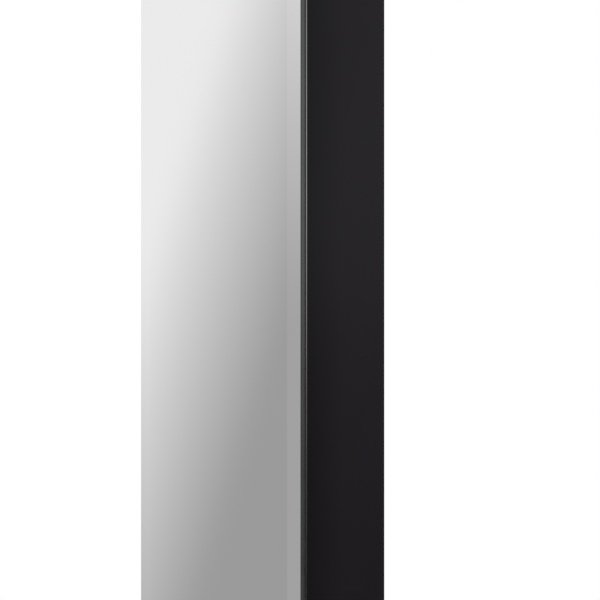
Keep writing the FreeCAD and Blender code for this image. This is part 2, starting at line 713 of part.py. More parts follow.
def shelf_pins():
    """Pins in the side panels, each with a collar against the panel's inner face."""
    body = new_body("shelf_pins")
    place = (f"-{FIRST_SHELF_PIN_DEPTH}", FIRST_SHELF_PIN_Z)
    collar_start = f"({INNER_HALF_WIDTH} - Dims.shelf_collar_thickness)"
    stem = new_sketch(body, "YZ_Plane", f"{collar_start} - Dims.shelf_pin_reach")
    add_small_round(stem, *place, "Dims.shelf_pin_diameter")
    length = "Dims.shelf_pin_reach + Dims.shelf_collar_thickness + Dims.shelf_pin_depth"
    stem_pad = pad(body, stem, length)
    collar = new_sketch(body, "YZ_Plane", collar_start)
    add_small_round(collar, *place, "Dims.shelf_collar_diameter")
    collar_pad = pad(body, collar, "Dims.shelf_collar_thickness")
    repeat(body, [stem_pad, collar_pad], shelf_pin_rows(), shelf_levels(), across("YZ_Plane"))


# Magnetic catches on the opening side: a bar magnet in a cup let into the panel's edge

def catch_outline(sketch, width, length, margin="0"):
    """Draws a rectangle about the lowest catch's middle in (X, Z), grown by a margin."""
    half_width = f"({width} / 2 + {margin})"
    half_length = f"({length} / 2 + {margin})"
    add_rectangle(sketch, f"{PANEL_MIDDLE_X} - {half_width}", f"{LOWEST_CATCH_Z} - {half_length}",
                  f"{PANEL_MIDDLE_X} + {half_width}", f"{LOWEST_CATCH_Z} + {half_length}")


def catch_slot(sketch):
    """Draws the opening that a catch's cup goes into."""
    catch_outline(sketch, "Dims.catch_width", "Dims.catch_length", "Dims.catch_clearance")


def catches():
    head_front = f"({TRIM_FRONT} + Dims.catch_head_height)"
    cups = new_body("catch_cups")
    shell = new_sketch(cups, "XZ_Plane", f"{TRIM_FRONT} - Dims.catch_depth")
    catch_outline(shell, "Dims.catch_width", "Dims.catch_length")
    shell_pad = pad(cups, shell, "Dims.catch_depth")
    flange = new_sketch(cups, "XZ_Plane", TRIM_FRONT)
    catch_outline(flange, "Dims.catch_width", "Dims.catch_length", "Dims.catch_flange")
    flange_pad = pad(cups, flange, "Dims.catch_head_height")
    seat = new_sketch(cups, "XZ_Plane", head_front)
    catch_outline(seat, "Dims.magnet_width", "Dims.magnet_length", "Dims.catch_clearance")
    seat_pocket = pocket(cups, seat, "Dims.magnet_thickness")
    repeat(cups, [shell_pad, flange_pad, seat_pocket], catch_row())
    magnets = new_body("catch_magnets")
    bar = new_sketch(magnets, "XZ_Plane", f"{head_front} - Dims.magnet_thickness")
    catch_outline(bar, "Dims.magnet_width", "Dims.magnet_length")
    repeat(magnets, [pad(magnets, bar, "Dims.magnet_thickness")], catch_row())


def strikes():
    """Plates on the back of the door, whose screw heads lie flush in them."""
    face = f"({DOOR_BACK} - {STRIKE_THICKNESS})"
    plates = new_body("strike_plates")
    plate = new_sketch(plates, "XZ_Plane", face)
    catch_outline(plate, "Dims.catch_width", "Dims.catch_length", "Dims.catch_flange")
    repeat(plates, [pad(plates, plate, STRIKE_THICKNESS)], catch_row())
    for diameter, depth in ((SCREW_HOLE, STRIKE_THICKNESS), (SCREW_HEAD_HOLE, "Dims.screw_head_height")):
        holes = new_sketch(plates, "XZ_Plane", face)
        add_small_round(holes, PANEL_MIDDLE_X, STRIKE_SCREW_Z, diameter)
        repeat(plates, [pocket(plates, holes, depth, True)], strike_screw_pair(), catch_row())
    screws("strike_screws", PANEL_MIDDLE_X, STRIKE_SCREW_Z, face, f"{face} + Dims.screw_head_height",
           "Dims.door_screw_length", strike_screw_pair(), catch_row())


# Door

def door_mirror():
    body = new_body("door_mirror")
    slab(body, f"-{HALF_WIDTH}", f"-{HALF_HEIGHT}", HALF_WIDTH, HALF_HEIGHT, GLASS_BACK, GLASS_EDGE_FRONT)
    rim = new_sketch(body, "XZ_Plane", GLASS_EDGE_FRONT)
    add_rectangle(rim, f"-{HALF_WIDTH}", f"-{HALF_HEIGHT}", HALF_WIDTH, HALF_HEIGHT)
    face = new_sketch(body, "XZ_Plane", f"{GLASS_BACK} + Dims.glass_thickness")
    half_width = f"({HALF_WIDTH} - Dims.bevel_width)"
    half_height = f"({HALF_HEIGHT} - Dims.bevel_width)"
    add_rectangle(face, f"-{half_width}", f"-{half_height}", half_width, half_height)
    bevel = body.newObject("PartDesign::AdditiveLoft", "door_mirror_bevel")
    bevel.Profile = rim
    bevel.Sections = [face]
    bevel.Ruled = True


def door_frame(where):
    """One hollow mitred profile with a rebate at the back for the inner mirror."""
    body = new_body(f"door_frame_{where}")
    mitred_band(body, where, HALF_WIDTH, HALF_HEIGHT, DOOR_FRAME_FACE, DOOR_BACK, REBATE_FLOOR)
    mitred_band(body, where, HALF_WIDTH, HALF_HEIGHT, DOOR_FRAME_WIDTH, REBATE_FLOOR, DOOR_FRAME_FRONT)
    upright = where in ("left", "right")
    half_size = HALF_WIDTH if upright else HALF_HEIGHT
    outer = signed(where, f"({half_size} - Dims.door_frame_wall)")
    inner = signed(where, f"({half_size} - {DOOR_FRAME_FACE} + Dims.door_frame_wall)")
    back = f"(-{DOOR_BACK} - Dims.door_frame_wall)"
    front = f"(-{DOOR_FRAME_FRONT} + Dims.door_frame_wall)"
    chamber = new_sketch(body, "XY_Plane" if upright else "YZ_Plane")
    if upright:
        add_rectangle(chamber, inner, front, outer, back)
    else:
        add_rectangle(chamber, front, inner, back, outer)
    pocket_through(body, chamber)
    if where == "left":
        holes = new_sketch(body, "XZ_Plane", DOOR_BACK)
        add_small_round(holes, LEAF_SCREW_X, DOOR_SCREW_Z, SCREW_HOLE)
        repeat(body, [pocket(body, holes, "Dims.door_frame_wall", True)], door_screw_row())
    if where == "right":
        holes = new_sketch(body, "XZ_Plane", DOOR_BACK)
        add_small_round(holes, PANEL_MIDDLE_X, STRIKE_SCREW_Z, SCREW_HOLE)
        wall_pocket = pocket(body, holes, "Dims.door_frame_wall", True)
        repeat(body, [wall_pocket], strike_screw_pair(), catch_row())


def door_corner_keys():
    body = new_body("door_corner_keys")
    gap = "(Dims.door_frame_wall + Dims.corner_key_clearance)"
    outer_x = f"({HALF_WIDTH} - {gap})"
    outer_z = f"({HALF_HEIGHT} - {gap})"
    leg = f"({DOOR_FRAME_FACE} - 2 * {gap})"
    sketch = new_sketch(body, "XZ_Plane", f"{DOOR_BACK} + {gap}")
    add_polygon(sketch, [
        (outer_x, outer_z),
        (f"{outer_x} - Dims.corner_key_length", outer_z),
        (f"{outer_x} - Dims.corner_key_length", f"{outer_z} - {leg}"),
        (f"{outer_x} - {leg}", f"{outer_z} - {leg}"),
        (f"{outer_x} - {leg}", f"{outer_z} - Dims.corner_key_length"),
        (outer_x, f"{outer_z} - Dims.corner_key_length"),
    ])
    key = pad(body, sketch, f"Dims.door_frame_thickness - 2 * {gap}")
    repeat(body, [key], across("YZ_Plane"), across("XY_Plane"))


def door_core():
    body = new_body("door_core")
    half_width = f"({HALF_WIDTH} - {DOOR_FRAME_WIDTH} - Dims.fit_clearance)"
    half_height = f"({HALF_HEIGHT} - {DOOR_FRAME_WIDTH} - Dims.fit_clearance)"
    slab(body, f"-{half_width}", f"-{half_height}", half_width, half_height, REBATE_FLOOR, DOOR_FRAME_FRONT)


def inner_mirror():
    body = new_body("inner_mirror")
    half_width = f"({HALF_WIDTH} - {DOOR_FRAME_FACE} - Dims.fit_clearance)"
    half_height = f"({HALF_HEIGHT} - {DOOR_FRAME_FACE} - Dims.fit_clearance)"
    far = f"({DOOR_BACK} + Dims.inner_mirror_thickness)"
    slab(body, f"-{half_width}", f"-{half_height}", half_width, half_height, DOOR_BACK, far)


def mirror_tapes():
    """Four strips of mounting tape between the door frame and the glass."""
    body = new_body("mirror_tapes")
    half_width = f"({HALF_WIDTH} - Dims.tape_inset)"
    half_height = f"({HALF_HEIGHT} - Dims.tape_inset)"
    low_x = f"({half_width} - Dims.tape_width)"
    low_z = f"({half_height} - Dims.tape_width)"
    upright = slab(body, low_x, f"-{half_height}", half_width, half_height, DOOR_FRAME_FRONT, GLASS_BACK)
    repeat(body, [upright], across("YZ_Plane"))
    end = f"({low_x} - Dims.fit_clearance)"
    lying = slab(body, f"-{end}", low_z, end, half_height, DOOR_FRAME_FRONT, GLASS_BACK)
    repeat(body, [lying], across("XY_Plane"))


for side_name in ("left", "right"):
    side_panel(side_name)
for end_name in ("top", "bottom"):
    end_panel(end_name)
back_panel()
hanging_rail("upper_hanging_rail", "top")
hanging_rail("lower_hanging_rail", "bottom")
carcass_dowels()
back_mirror()
for edge_name in SIDES:
    front_trim(edge_name)
door_gasket()
hinge_leaf("hinge_carcass_leaf", True)
hinge_leaf("hinge_door_leaf", False)
hinge_pin()
hinge_screws()
for shelf_level in range(1, count("shelf_count") + 1):
    glass_shelf(shelf_level)
shelf_pins()
catches()
strikes()
door_mirror()
for edge_name in SIDES:
    door_frame(edge_name)
door_corner_keys()
door_core()
inner_mirror()
mirror_tapes()

doc.recompute()
for item in doc.Objects:
    if "Invalid" in item.State or "Error" in item.State:
        raise RuntimeError(f"{item.Label} failed: {item.State}")
for body in subparts:
    if body.Shape.isNull() or not body.Shape.isValid():
        raise RuntimeError(f"{body.Label} has no valid shape")
os.makedirs("parts", exist_ok=True)
for body in subparts:
    body.Shape.exportStep(f"parts/{body.Label}.step")
    print(f"{body.Label}: {len(body.Shape.Solids)} solids, {body.Shape.Volume / 1000:.1f} cm3")
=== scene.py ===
"""Looks of a tall wall-hung mirror cabinet, dressed on the frame of its solids. Sizes are in metres."""
import json
import math

import bmesh
import bpy
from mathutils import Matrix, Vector


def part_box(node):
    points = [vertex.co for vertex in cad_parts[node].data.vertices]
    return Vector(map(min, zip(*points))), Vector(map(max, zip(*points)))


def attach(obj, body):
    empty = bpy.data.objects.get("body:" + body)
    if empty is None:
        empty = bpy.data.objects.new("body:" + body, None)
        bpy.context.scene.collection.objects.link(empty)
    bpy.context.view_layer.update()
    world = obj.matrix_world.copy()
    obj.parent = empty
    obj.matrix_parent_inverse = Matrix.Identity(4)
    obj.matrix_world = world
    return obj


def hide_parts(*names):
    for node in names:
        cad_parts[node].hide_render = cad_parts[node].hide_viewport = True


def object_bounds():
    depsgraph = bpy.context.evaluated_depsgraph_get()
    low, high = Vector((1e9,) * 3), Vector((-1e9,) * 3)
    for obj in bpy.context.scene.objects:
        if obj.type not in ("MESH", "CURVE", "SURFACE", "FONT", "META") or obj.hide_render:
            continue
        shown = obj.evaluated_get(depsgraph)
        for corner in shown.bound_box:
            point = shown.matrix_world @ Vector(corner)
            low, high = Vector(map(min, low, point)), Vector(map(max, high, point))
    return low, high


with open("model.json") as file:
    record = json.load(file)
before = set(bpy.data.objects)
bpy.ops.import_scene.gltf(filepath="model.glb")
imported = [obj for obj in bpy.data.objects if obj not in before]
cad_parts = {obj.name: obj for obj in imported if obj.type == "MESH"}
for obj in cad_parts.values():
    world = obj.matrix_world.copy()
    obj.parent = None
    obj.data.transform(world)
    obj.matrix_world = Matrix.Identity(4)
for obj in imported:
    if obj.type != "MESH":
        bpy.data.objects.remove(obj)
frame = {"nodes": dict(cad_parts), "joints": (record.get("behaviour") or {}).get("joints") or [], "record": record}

cad_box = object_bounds()
record = frame["record"]
BODY_OF = {node: body for body, nodes in record["behaviour"]["bodies"].items() for node in nodes}
SLOT_OF = {part["node"]: part["material_slot"] for part in record["subparts"]}
MM = 0.001
HALF_TURN = math.pi
QUARTER_TURN = HALF_TURN / 2
WHITE = (1, 1, 1, 1)

# The axis that the profiles of each side run along
ALONG_WIDTH = 0
ALONG_HEIGHT = 2
PROFILE_LAYS = {"left": ALONG_HEIGHT, "right": ALONG_HEIGHT, "top": ALONG_WIDTH, "bottom": ALONG_WIDTH}

# Eased edges of the panels, profiles and plates
MERGE_DISTANCE = 0.002 * MM
FLAT_ANGLE = math.radians(0.5)
SHARP_ANGLE = math.radians(30)
SHORTEST_EASED = 9 * MM
PANEL_EASE = 0.4 * MM
PROFILE_EASE = 0.2 * MM
TRIM_EASE = 0.12 * MM
PLATE_EASE = 0.25 * MM
SHELF_EASE = 0.7 * MM
EASE_STEPS = 2
LEVEL_NORMAL = 0.99
FACE, ROUNDED = range(2)

# Noise lies mostly between these values
NOISE_LOW = 0.3
NOISE_HIGH = 0.7

# Drawn metal: the fineness of its lines, how far they are drawn out, and the clouds of its wear
DRAW_LINES = 1400.0
DRAW_STRETCH = 0.012
WEAR_CLOUDS = 14.0

# Black lacquer: darkest and lightest tones, then how far a painted shade reaches in from the front edge, and the
# share of the colour that it keeps at that edge
BLACK_TONES = ((0.0145, 0.0128, 0.0156), (0.017, 0.0151, 0.0183))
RUBBED_TONES = ((0.0175, 0.0158, 0.0184), (0.024, 0.022, 0.025))
PAINTED_SHADE_REACH = 85 * MM
PAINTED_SHADE_FACTOR = 0.64

# Mirrors
MIRROR_TINT = (0.903, 0.907, 0.904)
HAZE_SHADE = 0.99
BEVEL_WIDTH = 26 * MM
BEVEL_DROP = 2.6 * MM
ARRIS = 0.2 * MM
SILVER, EDGE, PAINT = range(3)

# Door gasket
GASKET_WIDTH = 7 * MM
GASKET_BASE = 0.8 * MM
GASKET_LEDGE = 0.7 * MM
GASKET_STEPS = 12

# Continuous hinge
HINGE_AXIS = Vector(frame["joints"][0]["pos_m"])
BARREL_RADIUS = 1.4 * MM
LEAF_THICKNESS = 0.7 * MM
KNUCKLES = 75
KNUCKLE_GAP = 0.3 * MM
ROLL_TURN = math.radians(290)
ROLL_STEPS = 22
CARCASS_SCREWS = 8
DOOR_SCREWS = 7

# Screws and shelf pins
SCREW_SHANK_RADIUS = 1.5 * MM
SCREW_HEAD_RADIUS = 2.7 * MM
SCREW_HEAD_HEIGHT = 0.9 * MM
SCREW_CROWN = 0.72
RECESS_WIDTH = 0.62 * MM
RECESS_SPAN = 3.1 * MM
RECESS_DEPTH = 0.7 * MM
TURNED_SIDES = 32
SCREW_SEED = 7
PIN_RADIUS = 2.5 * MM
PIN_REACH = 9 * MM
PIN_CHAMFER = 0.5 * MM
COLLAR_RADIUS = 3.5 * MM
COLLAR_THICKNESS = 1.4 * MM
SHELVES = 6
PINS_PER_SIDE = 2
CATCHES = 2
SCREWS_PER_STRIKE = 2
STRIKE_SCREW_SPACING = 30 * MM

# Camera, level with the middle of the cabinet
CAMERA_TARGET = Vector((0.0, -0.112, 0.0))
CAMERA_DISTANCE = 1.8
CAMERA_PLACE = math.radians(43.906)
CAMERA_AIM = math.radians(41.573)
CAMERA_LENS = 61.048

# Floor, fill and lamps, with the place and the watts of each lamp
FLOOR_RADIUS = 1.05
FLOOR_SIDES = 96
FLOOR_DROP = 0.2 * MM
FLOOR_SOLID = 0.4
FLOOR_COLOUR = (0.86, 0.86, 0.86, 1)
FLOOR_ROUGHNESS = 0.9
FILL_LIGHT = 0.72
LAMP_SIZE = 1.8
LAMPS = {
    "key_lamp": (Vector((-1.9, -2.6, 2.2)), 60.0),
    "side_lamp": (Vector((3.2, -0.8, 0.3)), 16.0),
    "rear_lamp": (Vector((-1.0, 2.8, 2.2)), 45.0),
}

# Sweep of studio tones that only reflections see, in display shades from 0 to 1
SWEEP_SHADE = 0.595
SWEEP_PER_RADIAN = 1.9963
SWEEP_PER_SLOPE = 0.612
SWEEP_NEAR = math.radians(42.07)
SWEEP_FAR = math.radians(50.15)
SWEEP_DARKEST = 0.608
SWEEP_LIGHTEST = 0.922
SWEEP_KNEE = 0.05
FRONT_LIFT = 0.027
LIFT_FULL = math.radians(33)
LIFT_GONE = math.radians(40)
DISPLAY_OFFSET = 0.055
DISPLAY_POWER = 2.4

# Darker corner behind the right of the cabinet: heights from low to high, and their brightness
CORNER_DIRECTION = (0.5, 0.866, 0.0)
CORNER_INNER = math.radians(30)
CORNER_OUTER = math.radians(52)
CORNER_SLOPE = 0.288
CORNER_TONES = ((0.0, 0.0), (0.16, 0.03), (0.33, 0.085), (0.5, 0.21), (0.66, 0.315), (1.0, 0.265))


# Nodes

def add_node(tree, kind, inputs=None, **settings):
    """Adds a node; an input is a plain value or another node's output."""
    node = tree.nodes.new(kind)
    for name, value in settings.items():
        setattr(node, name, value)
    for key, value in (inputs or {}).items():
        if isinstance(value, bpy.types.NodeSocket):
            tree.links.new(value, node.inputs[key])
        else:
            node.inputs[key].default_value = value
    return node


def reckon(tree, operation, first, second=0.0, third=0.0):
    """One step of arithmetic inside a tree."""
    return add_node(tree, "ShaderNodeMath", {0: first, 1: second, 2: third}, operation=operation).outputs[0]


def mix_colours(tree, share, first, second):
    """Mixes two colours, which a colour mix takes at sockets 6 and 7 and gives at output 2."""
    return add_node(tree, "ShaderNodeMix", {0: share, 6: first, 7: second}, data_type="RGBA").outputs[2]


# Finishes

def start_finish(name, sockets):
    """Starts a material and sets what is the same all over its surface."""
    material = bpy.data.materials.new(name)
    material.use_nodes = True
    tree = material.node_tree
    shader = tree.nodes["Principled BSDF"]
    for label, value in sockets.items():
        shader.inputs[label].default_value = value
    return material, tree, shader


def grain(tree, scale, stretch=(1, 1, 1), detail=2.0):
    """Noise on the piece's own coordinates; a small stretch draws it out along that axis."""
    place = add_node(tree, "ShaderNodeTexCoord")
    drawn = add_node(tree, "ShaderNodeMapping", {"Vector": place.outputs["Object"], "Scale": stretch})
    noise = {"Vector": drawn.outputs[0], "Scale": scale, "Detail": detail}
    return add_node(tree, "ShaderNodeTexNoise", noise).outputs[0]


def spread(tree, value, low, high, start=NOISE_LOW, end=NOISE_HIGH):
    """Spreads a value between two limits."""
    limits = {"Value": value, "From Min": start, "From Max": end, "To Min": low, "To Max": high}
    return add_node(tree, "ShaderNodeMapRange", limits).outputs[0]


def tint(tree, shader, value, dark, light):
    """Colours the surface between two tones."""
    colour = mix_colours(tree, spread(tree, value, 0.0, 1.0), (*dark, 1), (*light, 1))
    tree.links.new(colour, shader.inputs["Base Color"])


def roughen(tree, shader, value, low, high):
    """Varies the gloss between two roughnesses."""
    tree.links.new(spread(tree, value, low, high), shader.inputs["Roughness"])


def emboss(tree, shader, value, strength, height):
    """Raises fine relief on the surface."""
    bump = add_node(tree, "ShaderNodeBump", {"Height": value, "Strength": strength, "Distance": height})
    tree.links.new(bump.outputs[0], shader.inputs["Normal"])


def lacquer(name, dark, light):
    """Sprayed satin lacquer: a faint cloud in the black and a fine orange peel."""
    material, tree, shader = start_finish(name, {"Specular IOR Level": 0.14})
    tint(tree, shader, grain(tree, scale=3.5), dark, light)
    roughen(tree, shader, grain(tree, scale=30.0), low=0.13, high=0.19)
    emboss(tree, shader, grain(tree, scale=900.0, detail=0.0), strength=0.012, height=0.02 * MM)
    return material


def painted_front_shade(material, front):
    """Paints shade into a lacquer: its colour darkens towards the front edge, down to a share of itself at that
    edge.
    """
    tree = material.node_tree
    colour = tree.nodes["Principled BSDF"].inputs["Base Color"]
    place = add_node(tree, "ShaderNodeTexCoord").outputs["Object"]
    depth = add_node(tree, "ShaderNodeSeparateXYZ", {0: place}).outputs[1]
    # Painted shade: the base colour is scaled down over the reach from the front edge
    kept = spread(tree, depth, PAINTED_SHADE_FACTOR, 1.0, front, front + PAINTED_SHADE_REACH)
    shaded = {0: colour.links[0].from_socket, "Scale": kept}
    deep = add_node(tree, "ShaderNodeVectorMath", shaded, operation="SCALE")
    tree.links.new(deep.outputs[0], colour)
    return material


def silvered_glass():
    """Silvered float glass, with a breath of haze here and there."""
    material, tree, shader = start_finish("silvered_glass", {"Metallic": 1.0})
    hazed = tuple(HAZE_SHADE * part for part in MIRROR_TINT)
    tint(tree, shader, grain(tree, scale=1.6), hazed, MIRROR_TINT)
    roughen(tree, shader, grain(tree, scale=5.0, detail=4.0), low=0.0, high=0.012)
    return material


def ground_edge():
    """Ground and polished glass edge: grey green, with fine grinding marks."""
    material, tree, shader = start_finish("ground_glass_edge", {"Metallic": 0.8})
    marks = grain(tree, scale=900.0, stretch=(1, 0.3, 1))
    tint(tree, shader, grain(tree, scale=12.0), dark=(0.165, 0.178, 0.174), light=(0.2, 0.214, 0.21))
    roughen(tree, shader, marks, low=0.16, high=0.3)
    emboss(tree, shader, marks, strength=0.15, height=0.02 * MM)
    return material


def backing_paint():
    """Grey paint behind the silver, with roller mottle."""
    material, tree, shader = start_finish("mirror_backing_paint", {})
    mottle = grain(tree, scale=160.0, detail=4.0)
    tint(tree, shader, grain(tree, scale=9.0), dark=(0.1, 0.105, 0.1), light=(0.135, 0.14, 0.135))
    roughen(tree, shader, mottle, low=0.5, high=0.68)
    emboss(tree, shader, mottle, strength=0.2, height=0.05 * MM)
    return material


def drawn_metal(name, dark, light, lay, gloss, metallic):
    """Metal with fine draw lines along one axis and slower cloudy wear."""
    material, tree, shader = start_finish(name, {"Metallic": metallic})
    stretch = [1.0, 1.0, 1.0]
    stretch[lay] = DRAW_STRETCH
    lines = grain(tree, DRAW_LINES, stretch, detail=3.0)
    clouds = reckon(tree, "MULTIPLY", grain(tree, WEAR_CLOUDS), 0.5)
    worn = reckon(tree, "MULTIPLY_ADD", lines, 0.5, clouds)
    tint(tree, shader, worn, dark, light)
    roughen(tree, shader, lines, *gloss)
    emboss(tree, shader, lines, strength=0.12, height=0.01 * MM)
    return material


def dark_anodised(lay):
    """Dark grey anodised door profile."""
    dark = (0.206, 0.21, 0.21)
    light = (0.246, 0.25, 0.25)
    return drawn_metal(f"dark_anodised_{lay}", dark, light, lay, gloss=(0.2, 0.3), metallic=0.85)


def dark_anodised_edge():
    """Corners of the door profile, rubbed a little brighter."""
    dark = (0.27, 0.276, 0.276)
    light = (0.33, 0.337, 0.337)
    return drawn_metal("dark_anodised_edge", dark, light, ALONG_HEIGHT, gloss=(0.2, 0.3), metallic=0.9)


def bright_trim(lay):
    """Bright drawn aluminium of the front trim."""
    dark = (0.7, 0.71, 0.72)
    light = (0.79, 0.8, 0.81)
    return drawn_metal(f"bright_trim_{lay}", dark, light, lay, gloss=(0.09, 0.16), metallic=1.0)


def plated(name, dark, light, gloss):
    """Plated steel or brass: soft clouds and fine rolling lines along the height."""
    return drawn_metal(name, dark, light, ALONG_HEIGHT, gloss, metallic=1.0)


def hinge_nickel():
    """Nickel plate of the hinge, a little warm."""
    return plated("hinge_nickel", dark=(0.56, 0.555, 0.535), light=(0.67, 0.665, 0.645), gloss=(0.2, 0.34))


def screw_zinc():
    """Zinc plate of the screws, a little blue."""
    return plated("screw_zinc", dark=(0.56, 0.565, 0.57), light=(0.68, 0.685, 0.69), gloss=(0.24, 0.38))


def pin_nickel():
    """Nickel plate of the turned pins and pressed cups, bright and warm."""
    return plated("pin_nickel", dark=(0.64, 0.62, 0.58), light=(0.72, 0.7, 0.66), gloss=(0.18, 0.3))


def magnet_nickel():
    """Nickel plate of the bar magnets, duller than the rest."""
    return plated("magnet_nickel", dark=(0.5, 0.5, 0.49), light=(0.62, 0.62, 0.61), gloss=(0.26, 0.4))


def strike_zinc():
    """Zinc plate of the strikes, scuffed dull by the magnets."""
    return plated("strike_zinc", dark=(0.52, 0.53, 0.535), light=(0.62, 0.63, 0.635), gloss=(0.28, 0.44))


def gasket_rubber():
    """Matt extruded rubber with a fine skin and a dusty bloom."""
    material, tree, shader = start_finish("gasket_rubber", {"Specular IOR Level": 0.3})
    skin = grain(tree, scale=1100.0, detail=3.0)
    bloom = grain(tree, scale=18.0, detail=4.0)
    tint(tree, shader, bloom, dark=(0.009, 0.009, 0.0095), light=(0.016, 0.016, 0.0165))
    roughen(tree, shader, skin, low=0.55, high=0.75)
    emboss(tree, shader, skin, strength=0.25, height=0.03 * MM)
    return material


def shelf_glass():
    """Clear float glass with faint smears."""
    material, tree, shader = start_finish("clear_shelf_glass", {"Transmission Weight": 1.0, "IOR": 1.5})
    tint(tree, shader, grain(tree, scale=4.0), dark=(0.93, 0.972, 0.955), light=(0.95, 0.982, 0.97))
    roughen(tree, shader, grain(tree, scale=22.0, detail=4.0), low=0.0, high=0.02)
    return material


def shelf_edge():
    """Polished edge of the shelves, where the glass shows its green."""
    material, tree, shader = start_finish("green_shelf_edge", {"Transmission Weight": 0.55, "IOR": 1.5})
    marks = grain(tree, scale=700.0, stretch=(1, 1, 0.4))
    tint(tree, shader, grain(tree, scale=16.0), dark=(0.16, 0.36, 0.29), light=(0.24, 0.47, 0.39))
    roughen(tree, shader, marks, low=0.08, high=0.18)
    return material


def beech():
    """Beech dowels: warm flecked wood along the width of the cabinet."""
    material, tree, shader = start_finish("beech", {"Specular IOR Level": 0.35})
    flecks = grain(tree, scale=700.0, stretch=(0.08, 1, 1), detail=4.0)
    tint(tree, shader, flecks, dark=(0.47, 0.31, 0.175), light=(0.6, 0.43, 0.265))
    roughen(tree, shader, flecks, low=0.5, high=0.65)
    emboss(tree, shader, flecks, strength=0.3, height=0.06 * MM)
    return material


def key_nylon():
    """Moulded black nylon of the corner keys."""
    material, tree, shader = start_finish("key_nylon", {"Specular IOR Level": 0.4})
    skin = grain(tree, scale=500.0, detail=3.0)
    tint(tree, shader, grain(tree, scale=25.0), dark=(0.024, 0.024, 0.025), light=(0.034, 0.034, 0.035))
    roughen(tree, shader, skin, low=0.4, high=0.55)
    emboss(tree, shader, skin, strength=0.2, height=0.04 * MM)
    return material


def core_board():
    """Hardboard core with its pressed fibres."""
    material, tree, shader = start_finish("core_hardboard", {"Specular IOR Level": 0.25})
    fibres = grain(tree, scale=260.0, stretch=(1, 1, 0.5), detail=6.0)
    tint(tree, shader, fibres, dark=(0.2, 0.125, 0.07), light=(0.33, 0.22, 0.135))
    roughen(tree, shader, fibres, low=0.65, high=0.82)
    emboss(tree, shader, fibres, strength=0.35, height=0.08 * MM)
    return material


def foam_tape():
    """Closed-cell foam tape: small cells in dark grey."""
    material, tree, shader = start_finish("foam_tape", {"Specular IOR Level": 0.2})
    place = add_node(tree, "ShaderNodeTexCoord").outputs["Object"]
    cells = add_node(tree, "ShaderNodeTexVoronoi", {"Vector": place, "Scale": 1800.0}).outputs["Distance"]
    tint(tree, shader, cells, dark=(0.02, 0.02, 0.021), light=(0.045, 0.045, 0.046))
    roughen(tree, shader, cells, low=0.75, high=0.9)
    emboss(tree, shader, cells, strength=0.5, height=0.1 * MM)
    return material


# Making pieces

def keep(obj, *nodes):
    """Sets a finished piece on the body of the solids that it stands for, and hides those solids."""
    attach(obj, BODY_OF[nodes[0]])
    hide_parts(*nodes)
    return obj


def refinish(node, finish):
    """Gives a new finish to a solid that keeps its own shape."""
    finishes = frame["nodes"][node].data.materials
    finishes.clear()
    finishes.append(finish)


def mesh_object(name, bm, materials):
    """Makes an object at the origin from edited mesh data."""
    mesh = bpy.data.meshes.new(name)
    bm.to_mesh(mesh)
    bm.free()
    for material in materials:
        mesh.materials.append(material)
    obj = bpy.data.objects.new(name, mesh)
    bpy.context.scene.collection.objects.link(obj)
    return obj


def merged_copy(node):
    """A solid's faces as one closed mesh, with flat stretches whole."""
    bm = bmesh.new()
    bm.from_mesh(frame["nodes"][node].data)
    bmesh.ops.remove_doubles(bm, verts=bm.verts, dist=MERGE_DISTANCE)
    bmesh.ops.dissolve_limit(bm, angle_limit=FLAT_ANGLE, verts=bm.verts, edges=bm.edges)
    for face in bm.faces:
        face.material_index = FACE
    return bm


def ease_edges(bm, width):
    """Rounds the long sharp edges; the rounded strips take the second material."""
    sharp = []
    for edge in bm.edges:
        if edge.is_manifold and edge.calc_length() > SHORTEST_EASED and edge.calc_face_angle() > SHARP_ANGLE:
            sharp.append(edge)
    bmesh.ops.bevel(bm, geom=sharp, offset=width, offset_type="OFFSET", segments=EASE_STEPS, profile=0.5,
                    affect="EDGES", clamp_overlap=True, material=ROUNDED)


def eased_piece(node, name, face_finish, edge_finish, width):
    """A solid with its long edges eased, in two finishes."""
    bm = merged_copy(node)
    ease_edges(bm, width)
    return keep(mesh_object(name, bm, (face_finish, edge_finish)), node)


def ring_corners(bm, low, high, inset, depth):
    """Four corners of a rectangle set in from a box, at one depth, anticlockwise from the front."""
    corners = [(low.x, low.z, 1, 1), (high.x, low.z, -1, 1), (high.x, high.z, -1, -1), (low.x, high.z, 1, -1)]
    return [bm.verts.new((x + side * inset, depth, z + rise * inset)) for x, z, side, rise in corners]


def lofted_sheet(node, name, rings, bands, caps, materials):
    """A sheet lofted from back to front through rectangles of an inset and a depth."""
    low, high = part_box(node)
    bm = bmesh.new()
    loops = [ring_corners(bm, low, high, inset, depth) for inset, depth in rings]
    for back, front, finish in zip(loops, loops[1:], bands):
        for corner in range(4):
            after = (corner + 1) % 4
            face = bm.faces.new((back[corner], back[after], front[after], front[corner]))
            face.material_index = finish
    bm.faces.new(reversed(loops[0])).material_index = caps[0]
    bm.faces.new(loops[-1]).material_index = caps[1]
    return keep(mesh_object(name, bm, materials), node)


def bevelled_door_mirror(materials):
    """The door's sheet of mirror: flat face, four mitred bevels, ground edge and arrises."""
    node = "door_mirror"
    low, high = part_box(node)
    edge_front = low.y + BEVEL_DROP
    rings = [
        (ARRIS, high.y),
        (0, high.y - ARRIS),
        (0, edge_front + ARRIS),
        (ARRIS, edge_front),
        (BEVEL_WIDTH, low.y),
    ]
    bands = (EDGE, EDGE, EDGE, SILVER)
    lofted_sheet(node, "bevelled_door_mirror", rings, bands, (PAINT, SILVER), materials)


def plain_mirror(node, name, faces_wall, materials):
    """A flat sheet of mirror with ground arrises, silvered to one side."""
    low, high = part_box(node)
    rings = [(ARRIS, high.y), (0, high.y - ARRIS), (0, low.y + ARRIS), (ARRIS, low.y)]
    caps = (SILVER, PAINT) if faces_wall else (PAINT, SILVER)
    lofted_sheet(node, name, rings, (EDGE, EDGE, EDGE), caps, materials)


